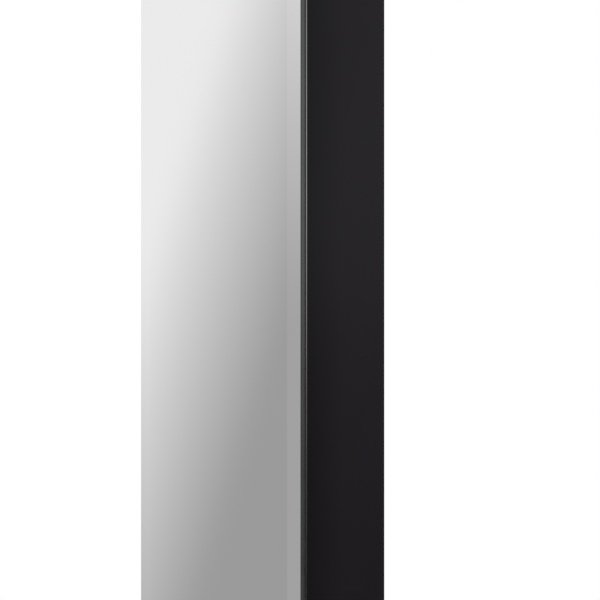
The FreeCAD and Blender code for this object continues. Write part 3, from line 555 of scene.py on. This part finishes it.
def gasket_bulb(finish):
    """The door gasket: a flat base with a rounded bulb, mitred round the frame."""
    node = "door_gasket"
    low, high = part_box(node)
    base_front = high.y - GASKET_BASE
    middle = GASKET_WIDTH / 2
    radius = middle - GASKET_LEDGE
    rise = base_front - low.y
    profile = [(0, high.y), (0, base_front)]
    for step in range(GASKET_STEPS + 1):
        angle = HALF_TURN * step / GASKET_STEPS
        profile.append((middle - radius * math.cos(angle), base_front - rise * math.sin(angle)))
    profile += [(GASKET_WIDTH, base_front), (GASKET_WIDTH, high.y)]
    bm = bmesh.new()
    loops = [ring_corners(bm, low, high, inset, depth) for inset, depth in profile]
    for loop, following in zip(loops, loops[1:] + loops[:1]):
        for corner in range(4):
            after = (corner + 1) % 4
            bm.faces.new((loop[corner], loop[after], following[after], following[corner]))
    bmesh.ops.recalc_face_normals(bm, faces=bm.faces)
    for face in bm.faces:
        face.smooth = True
    for edge in bm.edges:
        edge.smooth = edge.calc_face_angle() < SHARP_ANGLE
    keep(mesh_object("gasket_bulb", bm, [finish]), node)


def glass_shelf(number, face_finish, edge_finish):
    """One glass shelf: clear faces, green polished edges and eased corners."""
    node = f"glass_shelf_{number}"
    bm = merged_copy(node)
    ease_edges(bm, SHELF_EASE)
    bm.normal_update()
    for face in bm.faces:
        face.material_index = FACE if abs(face.normal.z) > LEVEL_NORMAL else ROUNDED
    keep(mesh_object(f"polished_shelf_{number}", bm, (face_finish, edge_finish)), node)


# Geometry trees

def start_tree(name, sizes):
    """Starts a geometry tree with one named input for each size."""
    tree = bpy.data.node_groups.new(name, "GeometryNodeTree")
    for label, value in sizes.items():
        kind = "NodeSocketFloat"
        if isinstance(value, int):
            kind = "NodeSocketInt"
        elif not isinstance(value, float):
            kind = "NodeSocketVector"
        tree.interface.new_socket(label, in_out="INPUT", socket_type=kind)
    tree.interface.new_socket("Geometry", in_out="OUTPUT", socket_type="NodeSocketGeometry")
    return tree, add_node(tree, "NodeGroupInput").outputs


def end_tree(tree, geometry, finish):
    """Ends a tree in real faces with their finish; rounds are shaded smooth between crisp edges."""
    real = add_node(tree, "GeometryNodeRealizeInstances", {"Geometry": geometry})
    smooth = add_node(tree, "GeometryNodeSetShadeSmooth", {"Geometry": real.outputs[0], "Shade Smooth": True})
    fold = add_node(tree, "GeometryNodeInputMeshEdgeAngle").outputs["Unsigned Angle"]
    crease = {"Geometry": smooth.outputs[0], "Shade Smooth": False}
    crease["Selection"] = reckon(tree, "GREATER_THAN", fold, SHARP_ANGLE)
    crisp = add_node(tree, "GeometryNodeSetShadeSmooth", crease, domain="EDGE")
    dressed = add_node(tree, "GeometryNodeSetMaterial", {"Geometry": crisp.outputs[0], "Material": finish})
    add_node(tree, "NodeGroupOutput", {0: dressed.outputs[0]})


def joined(tree, *parts):
    """Joins several geometries."""
    node = add_node(tree, "GeometryNodeJoinGeometry")
    for part in parts:
        tree.links.new(part, node.inputs[0])
    return node.outputs[0]


def fused(tree, *parts):
    """Fuses closed meshes into one skin."""
    node = add_node(tree, "GeometryNodeMeshBoolean", operation="UNION", solver="EXACT")
    for part in parts:
        tree.links.new(part, node.inputs["Mesh 2"])
    return node.outputs[0]


def cut_out(tree, whole, tool):
    """Cuts one closed mesh out of another."""
    meshes = {"Mesh 1": whole, "Mesh 2": tool}
    node = add_node(tree, "GeometryNodeMeshBoolean", meshes, operation="DIFFERENCE", solver="EXACT")
    return node.outputs[0]


def vector(tree, x=0.0, y=0.0, z=0.0):
    """A vector from three numbers or sockets."""
    return add_node(tree, "ShaderNodeCombineXYZ", {0: x, 1: y, 2: z}).outputs[0]


def moved(tree, geometry, translation, rotation=(0, 0, 0)):
    """Turns and then shifts a geometry."""
    inputs = {"Geometry": geometry, "Translation": translation, "Rotation": rotation}
    return add_node(tree, "GeometryNodeTransform", inputs).outputs[0]


def cylinder(tree, radius, length):
    """A closed cylinder about the middle of its axis."""
    inputs = {"Vertices": TURNED_SIDES, "Radius": radius, "Depth": length}
    return add_node(tree, "GeometryNodeMeshCylinder", inputs).outputs[0]


def cone(tree, foot, top, length):
    """A closed cone that stands on its foot."""
    inputs = {"Vertices": TURNED_SIDES, "Radius Bottom": foot, "Radius Top": top, "Depth": length}
    return add_node(tree, "GeometryNodeMeshCone", inputs).outputs[0]


def cuboid(tree, size):
    """A closed box about its middle."""
    return add_node(tree, "GeometryNodeMeshCube", {"Size": size}).outputs[0]


def row(tree, count, start=(0, 0, 0), step=(0, 0, 0)):
    """Evenly spaced points."""
    inputs = {"Count": count, "Start Location": start, "Offset": step}
    return add_node(tree, "GeometryNodeMeshLine", inputs).outputs[0]


def set_out(tree, points, shape, rotation=(0, 0, 0)):
    """Sets one shape out on every point."""
    inputs = {"Points": points, "Instance": shape, "Rotation": rotation}
    return add_node(tree, "GeometryNodeInstanceOnPoints", inputs).outputs[0]


def row_of_rows(tree, starts, line):
    """Real points of a row that is repeated at every point of another."""
    repeated = set_out(tree, starts, line)
    return add_node(tree, "GeometryNodeRealizeInstances", {"Geometry": repeated}).outputs[0]


def grown_piece(name, tree, sizes, *nodes):
    """Runs a tree and keeps its result as a plain mesh."""
    obj = bpy.data.objects.new(name, bpy.data.meshes.new(name))
    bpy.context.scene.collection.objects.link(obj)
    modifier = obj.modifiers.new(name, "NODES")
    modifier.node_group = tree
    for item in tree.interface.items_tree:
        if item.in_out == "INPUT":
            modifier[item.identifier] = sizes[item.name]
    graph = bpy.context.evaluated_depsgraph_get()
    mesh = bpy.data.meshes.new_from_object(obj.evaluated_get(graph))
    obj.modifiers.remove(modifier)
    obj.data = mesh
    mesh.name = name
    return keep(obj, *nodes)


def rolled_knuckle(tree, given):
    """One knuckle: a strip that leaves the plate along its tab and is rolled round the pin."""
    index = add_node(tree, "GeometryNodeInputIndex").outputs[0]
    last = reckon(tree, "SUBTRACT", given["Roll steps"], 2.0)
    share = reckon(tree, "DIVIDE", reckon(tree, "SUBTRACT", index, 1.0), last)
    angle = reckon(tree, "MULTIPLY_ADD", share, given["Roll turn"], QUARTER_TURN)
    across = reckon(tree, "MULTIPLY", reckon(tree, "COSINE", angle), given["Roll radius"])
    outward = reckon(tree, "MULTIPLY", reckon(tree, "SINE", angle), given["Roll radius"])
    rolled = vector(tree, across, reckon(tree, "MULTIPLY", outward, given["Side"]))
    tab = vector(tree, given["Tab reach"], reckon(tree, "MULTIPLY", given["Roll radius"], given["Side"]))
    choice = {"Switch": reckon(tree, "LESS_THAN", index, 0.5), "False": rolled, "True": tab}
    place = add_node(tree, "GeometryNodeSwitch", choice, input_type="VECTOR").outputs[0]
    points = row(tree, given["Roll steps"])
    path = add_node(tree, "GeometryNodeSetPosition", {"Geometry": points, "Position": place})
    curve = add_node(tree, "GeometryNodeMeshToCurve", {"Mesh": path.outputs[0]})
    upright = add_node(tree, "GeometryNodeSetCurveNormal", {"Curve": curve.outputs[0]}, mode="Z_UP")
    strip = {"Width": given["Thickness"], "Height": given["Knuckle length"]}
    section = add_node(tree, "GeometryNodeCurvePrimitiveQuadrilateral", strip)
    sweep = {"Curve": upright.outputs[0], "Profile Curve": section.outputs[0], "Fill Caps": True}
    return add_node(tree, "GeometryNodeCurveToMesh", sweep).outputs[0]


def rolled_leaf(name, node, first, side, finish):
    """A hinge leaf: a flat plate whose tabs are rolled round the pin; side is 1 towards the wall."""
    low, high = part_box(node)
    pitch = (high.z - low.z) / KNUCKLES
    roll_radius = BARREL_RADIUS - LEAF_THICKNESS / 2
    plate_start = HINGE_AXIS.x + BARREL_RADIUS + KNUCKLE_GAP
    plate_middle = ((high.x + plate_start) / 2, HINGE_AXIS.y + side * roll_radius, (low.z + high.z) / 2)
    sizes = {
        "Knuckles": len(range(first, KNUCKLES, 2)),
        "Knuckle length": pitch - KNUCKLE_GAP,
        "First knuckle": Vector((HINGE_AXIS.x, HINGE_AXIS.y, low.z + (first + 0.5) * pitch)),
        "Knuckle step": Vector((0, 0, 2 * pitch)),
        "Roll radius": roll_radius,
        "Roll turn": ROLL_TURN,
        "Roll steps": ROLL_STEPS,
        "Side": float(side),
        "Tab reach": plate_start - HINGE_AXIS.x,
        "Thickness": LEAF_THICKNESS,
        "Plate size": Vector((high.x - plate_start, LEAF_THICKNESS, high.z - low.z)),
        "Plate middle": Vector(plate_middle),
    }
    tree, given = start_tree(name, sizes)
    places = row(tree, given["Knuckles"], given["First knuckle"], given["Knuckle step"])
    barrel = set_out(tree, places, rolled_knuckle(tree, given))
    plate = moved(tree, cuboid(tree, given["Plate size"]), given["Plate middle"])
    end_tree(tree, joined(tree, barrel, plate), finish)
    return grown_piece(name, tree, sizes, node)


def cross_screw(tree, given):
    """One screw with a cross cut into its head; the head's seat is at the origin."""
    head = cone(tree, given["Head radius"], given["Crown radius"], given["Head height"])
    middle = reckon(tree, "MULTIPLY", given["Shank length"], -0.5)
    shank = moved(tree, cylinder(tree, given["Shank radius"], given["Shank length"]), vector(tree, z=middle))
    cut_height = reckon(tree, "MULTIPLY", given["Recess depth"], 2.0)
    slot_one = cuboid(tree, vector(tree, given["Recess span"], given["Recess width"], cut_height))
    slot_two = cuboid(tree, vector(tree, given["Recess width"], given["Recess span"], cut_height))
    cross = moved(tree, fused(tree, slot_one, slot_two), vector(tree, z=given["Head height"]))
    return cut_out(tree, fused(tree, head, shank), cross)


def screw_rows(node, groups, finish, heads_front, screws=1, spacing=0.0):
    """Cross-recessed screws in groups up the height; the heads face the front or the wall."""
    low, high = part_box(node)
    group_height = 2 * SCREW_HEAD_RADIUS + (screws - 1) * spacing
    group_step = (high.z - low.z - group_height) / (groups - 1)
    seat = low.y + SCREW_HEAD_HEIGHT if heads_front else high.y - SCREW_HEAD_HEIGHT
    sizes = {
        "Groups": groups,
        "Group step": Vector((0, 0, group_step)),
        "Screws in a group": screws,
        "Screw step": Vector((0, 0, spacing)),
        "First screw": Vector(((low.x + high.x) / 2, seat, low.z + SCREW_HEAD_RADIUS)),
        "Head radius": SCREW_HEAD_RADIUS,
        "Head height": SCREW_HEAD_HEIGHT,
        "Crown radius": SCREW_HEAD_RADIUS * SCREW_CROWN,
        "Shank radius": SCREW_SHANK_RADIUS,
        "Shank length": high.y - low.y - SCREW_HEAD_HEIGHT,
        "Recess width": RECESS_WIDTH,
        "Recess span": RECESS_SPAN,
        "Recess depth": RECESS_DEPTH,
    }
    name = f"cross_{node}"
    tree, given = start_tree(name, sizes)
    starts = row(tree, given["Groups"], given["First screw"], given["Group step"])
    places = row_of_rows(tree, starts, row(tree, given["Screws in a group"], step=given["Screw step"]))
    tilt = QUARTER_TURN if heads_front else -QUARTER_TURN
    tilted = set_out(tree, places, cross_screw(tree, given), (tilt, 0, 0))
    turn = add_node(tree, "FunctionNodeRandomValue", {3: QUARTER_TURN, "Seed": SCREW_SEED}, data_type="FLOAT")
    spin = {"Instances": tilted, "Rotation": vector(tree, z=turn.outputs[1]), "Local Space": True}
    end_tree(tree, add_node(tree, "GeometryNodeRotateInstances", spin).outputs[0], finish)
    return grown_piece(name, tree, sizes, node)


def collared_pin(tree, given):
    """One shelf pin along its axis, with its collar against the panel and a chamfered tip."""
    out = reckon(tree, "ADD", given["Collar thickness"], given["Reach under shelf"])
    length = reckon(tree, "ADD", out, given["Depth in panel"])
    middle = reckon(tree, "MULTIPLY", reckon(tree, "SUBTRACT", given["Depth in panel"], out), 0.5)
    stem = moved(tree, cylinder(tree, given["Pin radius"], length), vector(tree, z=middle))
    collar_middle = reckon(tree, "MULTIPLY", given["Collar thickness"], -0.5)
    collar_disc = cylinder(tree, given["Collar radius"], given["Collar thickness"])
    collar = moved(tree, collar_disc, vector(tree, z=collar_middle))
    tip_start = vector(tree, z=reckon(tree, "MULTIPLY", out, -1.0))
    tip_cone = cone(tree, given["Pin radius"], given["Tip radius"], given["Chamfer"])
    tip = moved(tree, tip_cone, tip_start, (HALF_TURN, 0, 0))
    return fused(tree, stem, collar, tip)


def shelf_pin_rows(finish):
    """Collared shelf pins in both side panels."""
    node = "shelf_pins"
    low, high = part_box(node)
    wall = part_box("right_side_panel")[0].x
    front = low.y + COLLAR_RADIUS
    rear = high.y - COLLAR_RADIUS
    bottom = low.z + COLLAR_RADIUS
    top = high.z - COLLAR_RADIUS
    sizes = {
        "Levels": SHELVES,
        "Level step": Vector((0, 0, (top - bottom) / (SHELVES - 1))),
        "Pins in a row": PINS_PER_SIDE,
        "Pin step": Vector((0, rear - front, 0)),
        "First pin": Vector((wall, front, bottom)),
        "Pin radius": PIN_RADIUS,
        "Tip radius": PIN_RADIUS - PIN_CHAMFER,
        "Chamfer": PIN_CHAMFER,
        "Depth in panel": high.x - wall,
        "Reach under shelf": PIN_REACH - PIN_CHAMFER,
        "Collar radius": COLLAR_RADIUS,
        "Collar thickness": COLLAR_THICKNESS,
        "Other side": Vector((0, front + rear, 0)),
    }
    tree, given = start_tree("shelf_pin_rows", sizes)
    starts = row(tree, given["Levels"], given["First pin"], given["Level step"])
    places = row_of_rows(tree, starts, row(tree, given["Pins in a row"], step=given["Pin step"]))
    right = set_out(tree, places, collared_pin(tree, given), (0, QUARTER_TURN, 0))
    left = moved(tree, right, given["Other side"], (0, 0, HALF_TURN))
    end_tree(tree, joined(tree, right, left), finish)
    return grown_piece("turned_shelf_pins", tree, sizes, node)


# Dressing

def dress_carcass():
    """The black case, its rails and its bright front trim."""
    black = lacquer("black_lacquer", *BLACK_TONES)
    rubbed = lacquer("rubbed_lacquer_edge", *RUBBED_TONES)
    for node in ("left_side_panel", "top_panel", "bottom_panel", "back_panel",
                 "upper_hanging_rail", "lower_hanging_rail"):
        eased_piece(node, f"lacquered_{node}", black, rubbed, PANEL_EASE)
    opening_side = "right_side_panel"
    # The opening side's lacquer has a painted shade that darkens it towards its front edge
    polished = painted_front_shade(lacquer("painted_front_shade_lacquer", *BLACK_TONES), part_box(opening_side)[0].y)
    eased_piece(opening_side, f"lacquered_{opening_side}", polished, rubbed, PANEL_EASE)
    metals = {lay: bright_trim(lay) for lay in (ALONG_WIDTH, ALONG_HEIGHT)}
    for side, lay in PROFILE_LAYS.items():
        eased_piece(f"front_trim_{side}", f"brushed_trim_{side}", metals[lay], metals[lay], TRIM_EASE)


def dress_door(mirror_finishes):
    """The mirrors and the anodised frame of the door."""
    bevelled_door_mirror(mirror_finishes)
    plain_mirror("inner_mirror", "inner_door_mirror", faces_wall=True, materials=mirror_finishes)
    rubbed = dark_anodised_edge()
    metals = {lay: dark_anodised(lay) for lay in (ALONG_WIDTH, ALONG_HEIGHT)}
    for side, lay in PROFILE_LAYS.items():
        eased_piece(f"door_frame_{side}", f"anodised_frame_{side}", metals[lay], rubbed, PROFILE_EASE)


def dress_inside(mirror_finishes):
    """The mirror, shelves, pins and catches inside the case."""
    plain_mirror("back_mirror", "inside_back_mirror", faces_wall=False, materials=mirror_finishes)
    clear = shelf_glass()
    green = shelf_edge()
    for number in range(1, SHELVES + 1):
        glass_shelf(number, clear, green)
    nickel = pin_nickel()
    shelf_pin_rows(nickel)
    eased_piece("catch_cups", "pressed_catch_cups", nickel, nickel, PLATE_EASE)
    magnet = magnet_nickel()
    eased_piece("catch_magnets", "bar_magnets", magnet, magnet, PLATE_EASE)
    strike = strike_zinc()
    eased_piece("strike_plates", "strike_plate_set", strike, strike, PLATE_EASE)


def dress_hinge():
    """The continuous hinge and every row of screws."""
    nickel = hinge_nickel()
    rolled_leaf("rolled_carcass_leaf", "hinge_carcass_leaf", first=0, side=1, finish=nickel)
    rolled_leaf("rolled_door_leaf", "hinge_door_leaf", first=1, side=-1, finish=nickel)
    refinish("hinge_pin", nickel)
    zinc = screw_zinc()
    screw_rows("hinge_carcass_screws", CARCASS_SCREWS, zinc, heads_front=True)
    screw_rows("hinge_door_screws", DOOR_SCREWS, zinc, heads_front=False)
    screw_rows("strike_screws", CATCHES, zinc, heads_front=False, screws=SCREWS_PER_STRIKE,
               spacing=STRIKE_SCREW_SPACING)


def dress_hidden():
    """Finishes for the hidden solids, by their slots."""
    finishes = {
        "beech": beech(),
        "key_nylon": key_nylon(),
        "core_board": core_board(),
        "foam_tape": foam_tape(),
    }
    for node, slot in SLOT_OF.items():
        if slot in finishes:
            refinish(node, finishes[slot])


# Stage

def camera_direction(angle):
    """Level direction that a camera turned by this angle looks along."""
    return Vector((-math.sin(angle), math.cos(angle), 0))


def set_camera():
    """The camera at the viewing angle of the photograph."""
    data = bpy.data.cameras.new("camera")
    data.lens = CAMERA_LENS
    camera = bpy.data.objects.new("camera", data)
    camera.location = CAMERA_TARGET - CAMERA_DISTANCE * camera_direction(CAMERA_PLACE)
    camera.rotation_euler = (QUARTER_TURN, 0, CAMERA_AIM)
    bpy.context.scene.collection.objects.link(camera)
    bpy.context.scene.camera = camera


def set_floor():
    """A pale floor that keeps the shadow and thins out into the white round it."""
    bm = bmesh.new()
    bmesh.ops.create_circle(bm, cap_ends=True, segments=FLOOR_SIDES, radius=FLOOR_RADIUS)
    sockets = {"Base Color": FLOOR_COLOUR, "Roughness": FLOOR_ROUGHNESS}
    material, tree, shader = start_finish("pale_floor", sockets)
    place = add_node(tree, "ShaderNodeTexCoord").outputs["Object"]
    reach = add_node(tree, "ShaderNodeVectorMath", {0: place}, operation="LENGTH").outputs["Value"]
    tree.links.new(spread(tree, reach, 1.0, 0.0, FLOOR_SOLID, FLOOR_RADIUS), shader.inputs["Alpha"])
    floor = mesh_object("floor", bm, [material])
    floor.location.z = cad_box[0][2] - FLOOR_DROP


def display_light(tree, shade):
    """Turns a display shade into light."""
    whole = 1 + DISPLAY_OFFSET
    lifted = reckon(tree, "MULTIPLY_ADD", shade, 1 / whole, DISPLAY_OFFSET / whole)
    return reckon(tree, "POWER", lifted, DISPLAY_POWER)


def sweep_light(tree, turn, slope):
    """A slanting sweep of grey across the front left of the studio, level tones to both sides of it."""
    kept = add_node(tree, "ShaderNodeClamp", {"Value": turn, "Min": SWEEP_NEAR, "Max": SWEEP_FAR}).outputs[0]
    across = reckon(tree, "MULTIPLY", reckon(tree, "SUBTRACT", kept, CAMERA_AIM), SWEEP_PER_RADIAN)
    sum_up = reckon(tree, "MULTIPLY_ADD", slope, SWEEP_PER_SLOPE, reckon(tree, "ADD", across, SWEEP_SHADE))
    lit = reckon(tree, "SMOOTH_MIN", sum_up, SWEEP_LIGHTEST, SWEEP_KNEE)
    grey = reckon(tree, "SMOOTH_MAX", lit, SWEEP_DARKEST, SWEEP_KNEE)
    lift = spread(tree, turn, FRONT_LIFT, 0.0, LIFT_FULL, LIFT_GONE)
    light = display_light(tree, reckon(tree, "ADD", grey, lift))
    return reckon(tree, "DIVIDE", light, sum(MIRROR_TINT) / len(MIRROR_TINT))


def corner_share(tree, direction):
    """How far a direction lies in the darker corner, whatever its height."""
    flattened = {0: direction, 1: (1, 1, 0)}
    level = add_node(tree, "ShaderNodeVectorMath", flattened, operation="MULTIPLY").outputs[0]
    unit = add_node(tree, "ShaderNodeVectorMath", {0: level}, operation="NORMALIZE").outputs[0]
    near = add_node(tree, "ShaderNodeVectorMath", {0: unit, 1: CORNER_DIRECTION}, operation="DOT_PRODUCT")
    return spread(tree, near.outputs["Value"], 0.0, 1.0, math.cos(CORNER_OUTER), math.cos(CORNER_INNER))


def corner_light(tree, slope):
    """Tones of the darker corner, by height."""
    share = spread(tree, slope, 0.0, 1.0, -CORNER_SLOPE, CORNER_SLOPE)
    ramp = add_node(tree, "ShaderNodeValToRGB", {"Fac": share})
    stops = ramp.color_ramp.elements
    stops.remove(stops[1])
    for number, (place, tone) in enumerate(CORNER_TONES):
        stop = stops.new(place) if number else stops[0]
        stop.color = (tone, tone, tone, 1)
    return ramp.outputs["Color"]


def studio_tones(tree):
    """The studio by direction: the sweep, and the darker corner where a direction lies in it."""
    direction = add_node(tree, "ShaderNodeTexCoord").outputs["Generated"]
    axes = add_node(tree, "ShaderNodeSeparateXYZ", {0: direction}).outputs
    left = reckon(tree, "MULTIPLY", axes[0], -1.0)
    front = reckon(tree, "MULTIPLY", axes[1], -1.0)
    turn = reckon(tree, "ARCTAN2", left, front)
    slope = reckon(tree, "TANGENT", reckon(tree, "ARCSINE", axes[2]))
    share = corner_share(tree, direction)
    return mix_colours(tree, share, sweep_light(tree, turn, slope), corner_light(tree, slope))


def background(tree, colour, strength):
    """One kind of light that the world gives."""
    return add_node(tree, "ShaderNodeBackground", {"Color": colour, "Strength": strength}).outputs[0]


def set_world():
    """White for the camera and through glass, studio tones in reflections, even fill elsewhere."""
    world = bpy.data.worlds.new("studio")
    bpy.context.scene.world = world
    world.use_nodes = True
    tree = world.node_tree
    tree.nodes.clear()
    path = add_node(tree, "ShaderNodeLightPath").outputs
    not_reflected = reckon(tree, "LESS_THAN", path["Glossy Depth"], 0.5)
    through_glass = reckon(tree, "MULTIPLY", path["Is Transmission Ray"], not_reflected)
    seen = reckon(tree, "MAXIMUM", path["Is Camera Ray"], through_glass)
    mirrored = reckon(tree, "MAXIMUM", path["Is Glossy Ray"], path["Is Transmission Ray"])
    tones = background(tree, studio_tones(tree), 1.0)
    fill = background(tree, WHITE, FILL_LIGHT)
    white = background(tree, WHITE, 1.0)
    unseen = add_node(tree, "ShaderNodeMixShader", {0: mirrored, 1: fill, 2: tones})
    whole = add_node(tree, "ShaderNodeMixShader", {0: seen, 1: unseen.outputs[0], 2: white})
    add_node(tree, "ShaderNodeOutputWorld", {0: whole.outputs[0]})


def soft_lamp(name, place, watts):
    """A large soft lamp aimed at the middle of the cabinet."""
    data = bpy.data.lights.new(name, "AREA")
    data.shape = "DISK"
    data.size = LAMP_SIZE
    data.energy = watts
    lamp = bpy.data.objects.new(name, data)
    lamp.location = place
    lamp.rotation_euler = (CAMERA_TARGET - lamp.location).to_track_quat("-Z", "Y").to_euler()
    lamp.visible_glossy = False
    bpy.context.scene.collection.objects.link(lamp)


mirror_finishes = (silvered_glass(), ground_edge(), backing_paint())
dress_carcass()
dress_door(mirror_finishes)
dress_inside(mirror_finishes)
dress_hinge()
dress_hidden()
gasket_bulb(gasket_rubber())

bpy.context.scene.view_settings.view_transform = "Standard"
set_camera()
set_world()
set_floor()
for lamp_name, (lamp_place, lamp_watts) in LAMPS.items():
    soft_lamp(lamp_name, lamp_place, lamp_watts)
